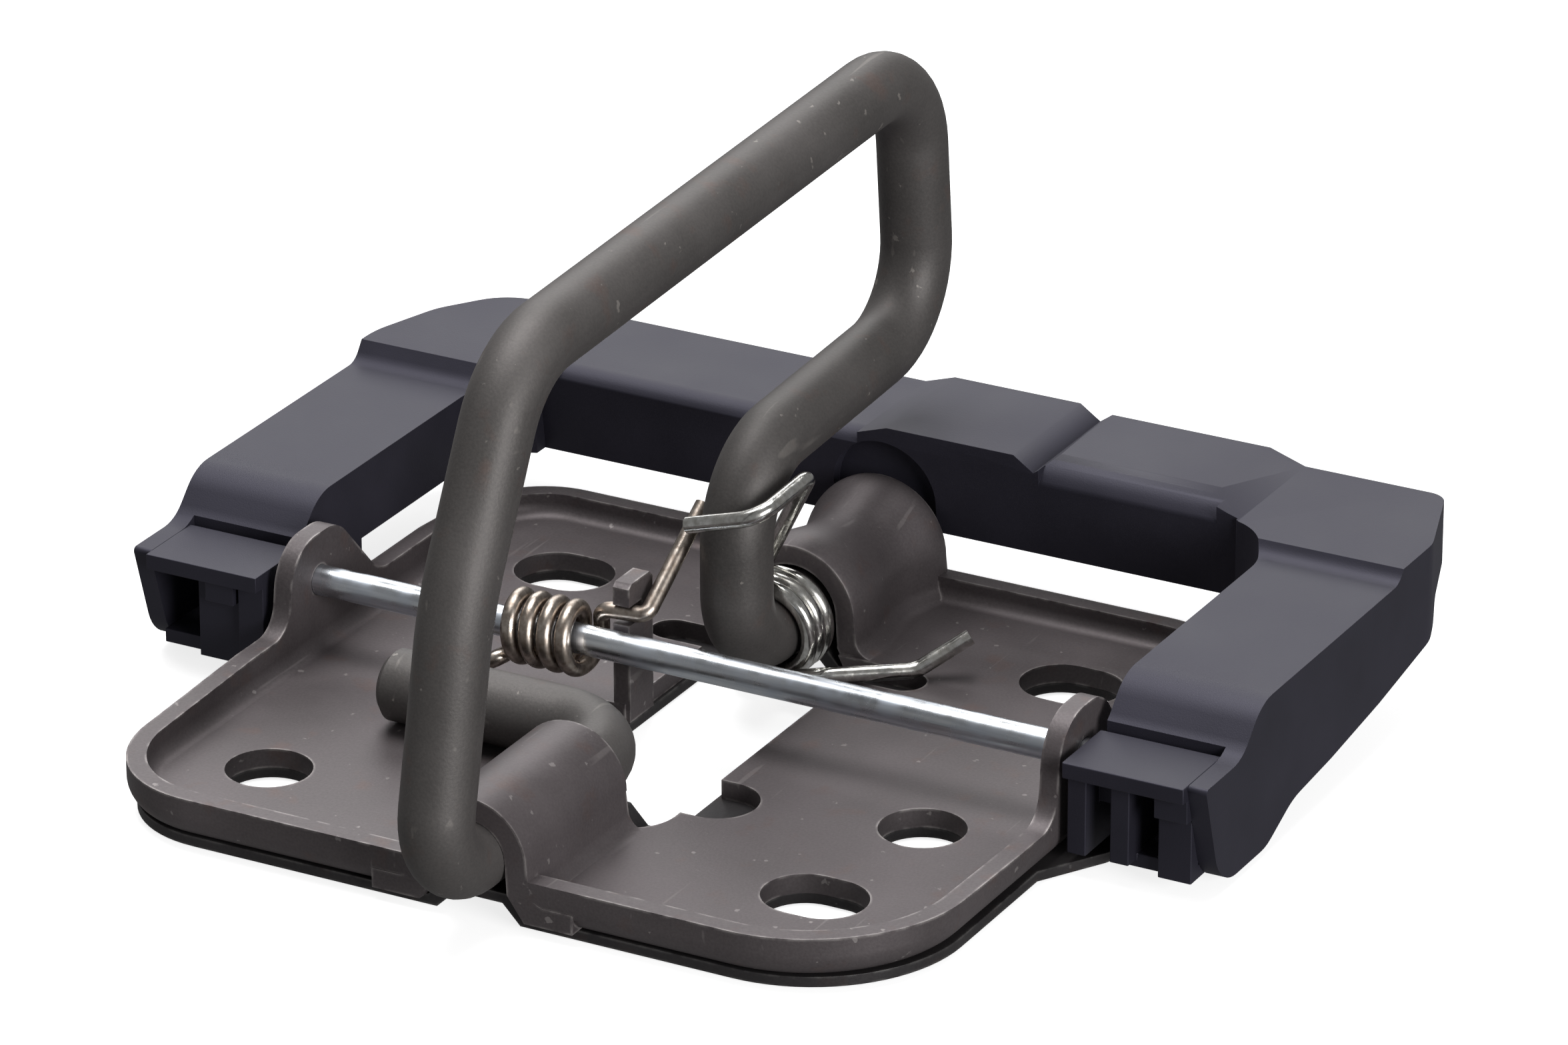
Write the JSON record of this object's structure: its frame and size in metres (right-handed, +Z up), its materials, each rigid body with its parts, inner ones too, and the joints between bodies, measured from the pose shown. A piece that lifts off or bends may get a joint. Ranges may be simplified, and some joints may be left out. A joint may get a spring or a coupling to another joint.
{
  "type": "spring-loaded striker bail plate with pull handle",
  "caption": "Round-wire striker bail tilting against a torsion spring on a stamped two-layer plate, with a sprung D-shaped plastic pull handle on a cross pin.",
  "frame": {"origin": "On the mounting face, which is the underside of the lower plate, below the cross pin and on the centre plane of the bail's rod.", "axes": "+X runs along the cross pin to the side that the bail tilts to, +Y runs back from the bail's front foot to the handle's grip, +Z points up from the mounting face to the bail's top bar."},
  "size_m": [0.131, 0.1178, 0.0663],
  "materials": {
    "phosphated_steel": "dark phosphate, matte, worn lighter on its edges",
    "dark_backing_steel": "dark phosphate, matte",
    "bail_steel": "dark phosphate, satin, lightly scratched",
    "bright_spring_wire": "bright zinc",
    "oil_tempered_wire": "oil tempered, brown, satin",
    "zinc_plated_pin": "bright zinc plate with drawing lines",
    "black_plastic": "moulded, fine matte grain"
  },
  "bodies": {
    "base": {"upper_plate": "phosphated_steel", "lower_plate": "dark_backing_steel", "bail_spring": "bright_spring_wire", "handle_spring": "oil_tempered_wire"},
    "bail": {"bail": "bail_steel"},
    "handle": {"handle_cover": "black_plastic", "hinge_block_left": "black_plastic", "hinge_block_right": "black_plastic", "axle_pin": "zinc_plated_pin"}
  },
  "joints": [
    {"name": "bail_tilt", "type": "hinge", "parent": "base", "child": "bail", "pos_m": [0, 0, 0.0076], "axis": [0, 1, 0], "range_deg": [0, 35], "stiffness_Nm_per_rad": 0.3, "springref_deg": -20.05, "deforming": ["bail_spring"]},
    {"name": "handle_press", "type": "hinge", "parent": "base", "child": "handle", "pos_m": [0, 0, 0.0111], "axis": [-1, 0, 0], "range_deg": [0, 5], "stiffness_Nm_per_rad": 0.2, "springref_deg": -22.92, "deforming": ["handle_spring"]}
  ]
}
